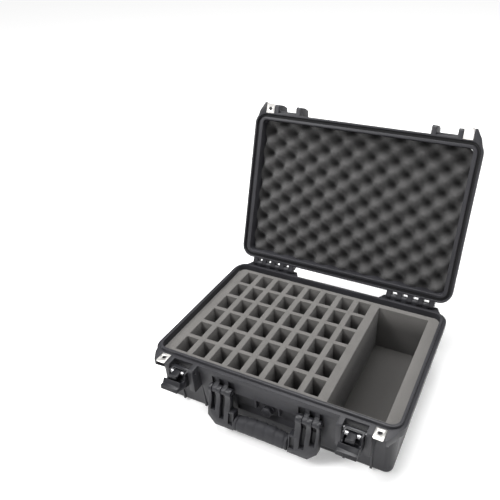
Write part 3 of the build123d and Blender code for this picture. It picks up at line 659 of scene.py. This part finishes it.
# %% Slice and shape the grip
def make_grip():
    start_clean()
    bpy.ops.mesh.primitive_cylinder_add(
        vertices=GRIP_SIDES,
        radius=GRIP_THICK,
        depth=2 * GRIP_HALF,
        rotation=(0, math.radians(90), 0),
    )
    grip = bpy.context.object
    grip.name = "finger_grip"
    bake_place(grip)
    edit("VERT")
    for ring in range(1, GRIP_RINGS):
        bpy.ops.mesh.select_all(action="SELECT")
        place = (-GRIP_HALF + 2 * GRIP_HALF * ring / GRIP_RINGS, 0, 0)
        bpy.ops.mesh.bisect(plane_co=place, plane_no=(1, 0, 0))
    done()
    for v in grip.data.vertices:
        v.co = grip_ring(v.co.x, math.atan2(v.co.z, v.co.y))
    edit("EDGE")
    ends = pick("EDGE", lambda e: all(abs(abs(v.co.x) - GRIP_HALF) < WELD for v in e.verts))
    bpy.ops.mesh.bevel(offset=GRIP_END, segments=3, affect="EDGES")
    done()
    hang = Matrix.Translation(pivot) @ Matrix.Rotation(-HANG, 4, "X") @ Matrix.Translation(-pivot)
    grip.data.transform(hang)
    faces_out(grip)
    smooth(grip, SOFT_DEGREES)
    print("grip", len(grip.data.polygons), "faces,", ends, "end edges rounded")
    return grip


grip = make_grip()
grip.data.materials.append(grip_rubber)
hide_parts("handle_grip")
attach(grip, "handle")

# %% [markdown]
# ## The foam insert
# The insert is one block of foam, die cut: forty-eight slots in six rows, and a long well for
# accessories. It could be a box with holes cut by booleans, but a sheet that is scored like pastry,
# emptied where the slots are and then pulled down keeps clean faces, so its edges can be softened
# after.

# %% Score a sheet
insert_low, insert_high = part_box("foam_slot_block")
wall_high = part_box("foam_well_surround")[1]
TOP = insert_high.z
PAD_TOP = insert_low.z
SLOT_COLUMNS = 8
SLOT_ROWS = 6
recorded = frame["record"]["physics"]["openings"]
openings = {o["name"]: [Vector(p) for p in o["box_m"]] for o in recorded}
slot_a = openings["slot_row1_column1"]
slot_b = openings["slot_row1_column2"]
slot_c = openings["slot_row2_column1"]
well = openings["accessory_well"]
OPENING_INSET = 0.4 * MM
pitch_x = slot_b[0].x - slot_a[0].x
pitch_y = slot_c[0].y - slot_a[0].y
slot_width = slot_a[1].x - slot_a[0].x + 2 * OPENING_INSET
slot_depth = slot_a[1].y - slot_a[0].y + 2 * OPENING_INSET
slot_x = [slot_a[0].x - OPENING_INSET + pitch_x * i for i in range(SLOT_COLUMNS)]
slot_y = [slot_a[0].y - OPENING_INSET + pitch_y * j for j in range(SLOT_ROWS)]
well_x = (well[0].x - OPENING_INSET, well[1].x + OPENING_INSET)
well_y = (well[0].y - OPENING_INSET, well[1].y + OPENING_INSET)
print("slot", round(slot_width / MM, 1), "by", round(slot_depth / MM, 1), "mm")


def score(place, normal):
    """Cuts a line of edges across the whole mesh in edit mode."""
    bpy.ops.mesh.select_all(action="SELECT")
    bpy.ops.mesh.bisect(plane_co=place, plane_no=normal)


def in_slot(point):
    """Whether a point of the sheet lies in a slot."""
    across = any(x < point.x < x + slot_width for x in slot_x)
    along = any(y < point.y < y + slot_depth for y in slot_y)
    return across and along


def in_well(point):
    """Whether a point of the sheet lies in the well."""
    return well_x[0] < point.x < well_x[1] and well_y[0] < point.y < well_y[1]


# %% Cut the insert and pull it down
INSERT_CORNER = 12 * MM
CORNER_SEGMENTS = 6


def make_insert():
    low = Vector((insert_low.x, insert_low.y, TOP))
    high = Vector((wall_high.x, insert_high.y, TOP))
    start_clean()
    bpy.ops.mesh.primitive_plane_add(size=1, location=(low + high) / 2)
    sheet = bpy.context.object
    sheet.name = "foam_insert"
    sheet.scale = (high.x - low.x, high.y - low.y, 1)
    bake_place(sheet)
    edit("VERT")
    bpy.ops.mesh.select_all(action="SELECT")
    bpy.ops.mesh.bevel(offset=INSERT_CORNER, segments=CORNER_SEGMENTS, affect="VERTICES")
    for x in slot_x:
        score((x, 0, 0), (1, 0, 0))
        score((x + slot_width, 0, 0), (1, 0, 0))
    for y in slot_y:
        score((0, y, 0), (0, 1, 0))
        score((0, y + slot_depth, 0), (0, 1, 0))
    for x, y in zip(well_x, well_y):
        score((x, 0, 0), (1, 0, 0))
        score((0, y, 0), (0, 1, 0))
    bpy.ops.mesh.select_mode(type="FACE")
    middle = bmesh.types.BMFace.calc_center_median
    empty = pick("FACE", lambda f: in_slot(middle(f)) or in_well(middle(f)))
    bpy.ops.mesh.delete(type="FACE")
    bpy.ops.mesh.select_all(action="SELECT")
    bpy.ops.mesh.extrude_region_move(TRANSFORM_OT_translate={"value": (0, 0, PAD_TOP - TOP)})
    done()
    faces_out(sheet)
    print("faces emptied for slots and well", empty)
    return sheet, low, high


insert, insert_front, insert_back = make_insert()

# %% Draft and soften the insert
INSERT_DRAFT = 4.9 * MM
SOFT_EDGE = 0.9 * MM
LEVEL = 0.9
STEEP = 0.5
SOFT_SEGMENTS = 3


def draft_sides(obj, low, high):
    """Draws the foot of the outer wall in, as the shell's wall is drafted."""
    middle = (low + high) / 2
    reach = (high - low) / 2
    for v in obj.data.vertices:
        outside_x = abs(v.co.x - middle.x) > reach.x - INSERT_CORNER
        outside_y = abs(v.co.y - middle.y) > reach.y - INSERT_CORNER
        if v.co.z < TOP - MM:
            if outside_x:
                v.co.x -= math.copysign(INSERT_DRAFT, v.co.x - middle.x)
            if outside_y:
                v.co.y -= math.copysign(INSERT_DRAFT, v.co.y - middle.y)


def is_rim(edge):
    """An edge between the top and a wall."""
    normals = [f.normal.z for f in edge.link_faces]
    return len(normals) == 2 and max(normals) > LEVEL and min(normals) < STEEP


def soften_rims(obj, width):
    """Rounds the edges round the top, and counts them."""
    take(obj)
    edit("EDGE")
    count = pick("EDGE", is_rim)
    bpy.ops.mesh.bevel(offset=width, segments=SOFT_SEGMENTS, affect="EDGES", profile=0.5)
    done()
    return count


draft_sides(insert, insert_front, insert_back)
print("rims softened", soften_rims(insert, SOFT_EDGE))
smooth(insert, SOFT_DEGREES)
insert.data.materials.append(insert_foam)
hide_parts("foam_slot_block", "foam_well_surround")
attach(insert, "base")

# %% [markdown]
# ## The floor pad
# Under the insert lies a thin pad that keeps what is carried off the hard floor. Only its top shows,
# through the slots and in the well, where it is never quite flat. A grid has points to move, where a
# plain box has only corners, so a grid is pulled down to a slab and its top is then waved a little,
# by a ripple given in radians per metre.

# %% Make the pad
pad_low, pad_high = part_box("foam_floor_pad")
PAD_EDGE = 3 * MM
PAD_CELLS = (60, 40)
PAD_WAVE = 0.8 * MM
PAD_RIPPLE = (61, 47)


def make_pad():
    start_clean()
    size = pad_high - pad_low
    bpy.ops.mesh.primitive_grid_add(
        x_subdivisions=PAD_CELLS[0],
        y_subdivisions=PAD_CELLS[1],
        size=1,
        location=((pad_low.x + pad_high.x) / 2, (pad_low.y + pad_high.y) / 2, pad_high.z),
    )
    pad = bpy.context.object
    pad.name = "foam_pad"
    pad.scale = (size.x, size.y, 1)
    bake_place(pad)
    edit("FACE")
    bpy.ops.mesh.select_all(action="SELECT")
    bpy.ops.mesh.extrude_region_move(TRANSFORM_OT_translate={"value": (0, 0, -size.z)})
    done()
    faces_out(pad)
    for v in pad.data.vertices:
        if v.co.z > pad_high.z - MM:
            wave = math.sin(v.co.x * PAD_RIPPLE[0]) * math.sin(v.co.y * PAD_RIPPLE[1])
            v.co.z -= PAD_WAVE * (0.5 - 0.5 * wave)
    print("pad rims softened", soften_rims(pad, PAD_EDGE))
    smooth(pad, SOFT_DEGREES)
    return pad


pad = make_pad()
pad.data.materials.append(insert_foam)
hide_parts("foam_floor_pad")
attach(pad, "base")

# %% [markdown]
# ## The egg-crate foam in the lid
# This foam is cut by pressing it between rollers with fingers while a blade splits it, which leaves
# rows of round hills and pits, each row half a step along from the next. A product of two cosines
# has just that pattern, and a power below one rounds the hills and narrows the pits. It is worked
# out with the lid shut, where its place is simple, and then turned open about the hinge. Each point
# also keeps how deep in a pit it lies, and its finish paints shade there: the colour is darker deep in
# each pit.

# %% Work out the open lid
lid_joint = next(j for j in frame["joints"] if j["child"] == "lid")
hinge = Vector(lid_joint["pos_m"])
lid_angle = math.radians(lid_joint["range_deg"][1])
lid_open = Matrix.Translation(hinge) @ Matrix.Rotation(-lid_angle, 4, "X") @ Matrix.Translation(-hinge)
lid_shut = lid_open.inverted()
shut_points = [lid_shut @ v.co for v in frame["nodes"]["lid_foam"].data.vertices]
foam_low = Vector([min(p[i] for p in shut_points) for i in range(3)])
foam_high = Vector([max(p[i] for p in shut_points) for i in range(3)])
print("lid foam, shut", [round(v / MM, 1) for v in foam_low], [round(v / MM, 1) for v in foam_high])

# %% Make the hills and pits
HILL_PITCH = Vector((44.4, 41.2, 0)) * MM
PIT_ROW = -25 * MM
HILL_HEIGHT = 21 * MM
HILL_POWER = 0.8
EGG_CELL = 1.9 * MM
EGG_CORNER = 8 * MM
EGG_DRAFT = 2.2 * MM
EGG_DEGREES = 60


def hill(x, y):
    """0 at the bottom of a pit and 1 on top of a hill."""
    across = math.cos(math.tau * x / HILL_PITCH.x)
    along = math.cos(math.tau * (y - PIT_ROW) / HILL_PITCH.y)
    return (0.5 - 0.5 * across * along) ** HILL_POWER


def round_corner(x, y, reach_x, reach_y):
    """Moves a point of the square sheet's corners on to the rounded corner."""
    dx = abs(x) - (reach_x - EGG_CORNER)
    dy = abs(y) - (reach_y - EGG_CORNER)
    if dx > 0 and dy > 0:
        share = max(dx, dy) / math.hypot(dx, dy)
        x = math.copysign(reach_x - EGG_CORNER + dx * share, x)
        y = math.copysign(reach_y - EGG_CORNER + dy * share, y)
    return x, y


def make_egg_crate():
    start_clean()
    size = foam_high - foam_low
    middle = (foam_low + foam_high) / 2
    bpy.ops.mesh.primitive_grid_add(
        x_subdivisions=round(size.x / EGG_CELL),
        y_subdivisions=round(size.y / EGG_CELL),
        size=1,
        location=(middle.x, middle.y, foam_low.z),
    )
    egg = bpy.context.object
    egg.name = "egg_crate_foam"
    egg.scale = (size.x, size.y, 1)
    bake_place(egg)
    edit("FACE")
    bpy.ops.mesh.select_all(action="SELECT")
    bpy.ops.mesh.extrude_region_move(TRANSFORM_OT_translate={"value": (0, 0, size.z)})
    done()
    faces_out(egg)
    for v in egg.data.vertices:
        x, y = round_corner(v.co.x - middle.x, v.co.y - middle.y, size.x / 2, size.y / 2)
        at_back = v.co.z > middle.z
        draw_in = EGG_DRAFT if at_back else 0.0
        v.co.x = middle.x + x * (1 - draw_in / (size.x / 2))
        v.co.y = middle.y + y * (1 - draw_in / (size.y / 2))
        if not at_back:
            v.co.z += HILL_HEIGHT * (1 - hill(v.co.x, v.co.y))
    # The pit attribute is used as painted shade: the egg foam's colour is darker deep in each pit.
    pit = egg.data.attributes.new("pit", "FLOAT", "POINT")
    for v, shade in zip(egg.data.vertices, pit.data):
        shade.value = 1 - hill(v.co.x, v.co.y)
    egg.data.transform(lid_open)
    egg.data.update()
    return egg


egg = make_egg_crate()
smooth(egg, EGG_DEGREES)
egg.data.materials.append(egg_foam)
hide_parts("lid_foam")
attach(egg, "lid")
print("egg crate", len(egg.data.polygons), "faces")

# %% [markdown]
# ## Camera
# A camera is fitted to the photograph's straight edges. Its turn, height and roll, and its focal
# length for a frame of 500 by 500 pixels, are named below; the lens follows from the focal length,
# because the sensor is 36 mm wide.

# %% Camera
CAMERA_AT = Vector((290.0, -615.9, 693.1)) * MM
CAMERA_AZIMUTH = math.radians(-25.76)
CAMERA_TILT = math.radians(33.80)
CAMERA_ROLL = math.radians(1.04)
FOCAL_PIXELS = 529.7
CENTRE_PIXEL = (300, 268)
FRAME_PIXELS = 500
SENSOR = 36.0
NEAREST = 10 * MM
ahead = Vector(
    (
        math.sin(CAMERA_AZIMUTH) * math.cos(CAMERA_TILT),
        math.cos(CAMERA_AZIMUTH) * math.cos(CAMERA_TILT),
        -math.sin(CAMERA_TILT),
    )
)
level = ahead.cross(Vector((0, 0, 1))).normalized()
down = ahead.cross(level)
right = math.cos(CAMERA_ROLL) * level + math.sin(CAMERA_ROLL) * down
up = math.sin(CAMERA_ROLL) * level - math.cos(CAMERA_ROLL) * down
turn = Matrix((right, up, -ahead)).transposed().to_4x4()
camera_data = bpy.data.cameras.new("camera")
camera_data.sensor_width = SENSOR
camera_data.lens = FOCAL_PIXELS * SENSOR / FRAME_PIXELS
camera_data.shift_x = 0.5 - CENTRE_PIXEL[0] / FRAME_PIXELS
camera_data.shift_y = CENTRE_PIXEL[1] / FRAME_PIXELS - 0.5
camera_data.clip_start = NEAREST
camera = bpy.data.objects.new("camera", camera_data)
camera.matrix_world = Matrix.Translation(CAMERA_AT) @ turn
bpy.context.scene.collection.objects.link(camera)
bpy.context.scene.camera = camera
print("lens", round(camera_data.lens, 1), "mm on a sensor of", SENSOR, "mm")

# %% [markdown]
# ## Floor and lights
# The photograph is a catalogue picture on a white ground without an edge. The floor is a wide sheet of
# paper that glows a little, as paper does on a light table, and more so far away, where the lamps
# don't reach. One soft light hangs above and fills the slots. Another, nearly as strong, stands on the
# left, and the shade that it leaves on the right side of each hill gives the foam its form. Weaker ones
# stand in front and on the right.

# %% Floor
FLOOR_SIZE = 40
FLOOR_DROP = 0.3 * MM
PAPER_SPOTS_MM = 900
LIT_WITHIN = 0.5
GLOWS_BEYOND = 2.2


def grey(level):
    """A colour without a tint."""
    return (level, level, level)


def make_floor():
    start_clean()
    bpy.ops.mesh.primitive_plane_add(size=FLOOR_SIZE, location=(0, 0, -FLOOR_DROP))
    floor = bpy.context.object
    floor.name = "floor"
    finish = Finish("floor_paper")
    spots = finish.noise(PAPER_SPOTS_MM)
    length = {"operation": "LENGTH"}
    distance = finish.node("ShaderNodeVectorMath", length, {0: finish.place()}, output=1)
    glow = finish.mix(distance.above(LIT_WITHIN, GLOWS_BEYOND), grey(0.25), grey(0.75))
    paper = finish.surface(
        Base_Color=finish.mix(spots, grey(0.80), grey(0.84)),
        Roughness=0.9,
        Specular_IOR_Level=0.1,
        Emission_Color=glow,
        Emission_Strength=1.0,
    )
    floor.data.materials.append(paper)
    print("floor", FLOOR_SIZE, "m wide")


make_floor()


# %% Lights
def softbox(name, place, aim, size, power):
    """A rectangular lamp that faces the point aim."""
    data = bpy.data.lights.new(name, "AREA")
    data.shape = "RECTANGLE"
    data.size, data.size_y = size
    data.energy = power
    light = bpy.data.objects.new(name, data)
    light.location = place
    light.rotation_euler = (Vector(aim) - Vector(place)).to_track_quat("-Z", "Y").to_euler()
    bpy.context.scene.collection.objects.link(light)
    print(name, power, "W")


softbox("top_light", (-0.1, 0.2, 2.0), (0, 0, 0.1), (1.3, 1.1), 62)
softbox("left_light", (-1.3, -1.2, 1.9), (0, 0, 0.15), (0.9, 0.9), 56)
softbox("front_light", (0.3, -2.2, 1.0), (0, 0, 0.12), (0.8, 0.7), 12)
softbox("right_light", (1.9, 0.3, 1.1), (0.1, 0, 0.15), (0.9, 1.0), 14)
WORLD_STRENGTH = 0.2
world = bpy.data.worlds.new("studio")
world.use_nodes = True
background = world.node_tree.nodes["Background"]
background.inputs["Color"].default_value = (1, 1, 1, 1)
background.inputs["Strength"].default_value = WORLD_STRENGTH
bpy.context.scene.world = world
bpy.context.scene.view_settings.view_transform = "Standard"
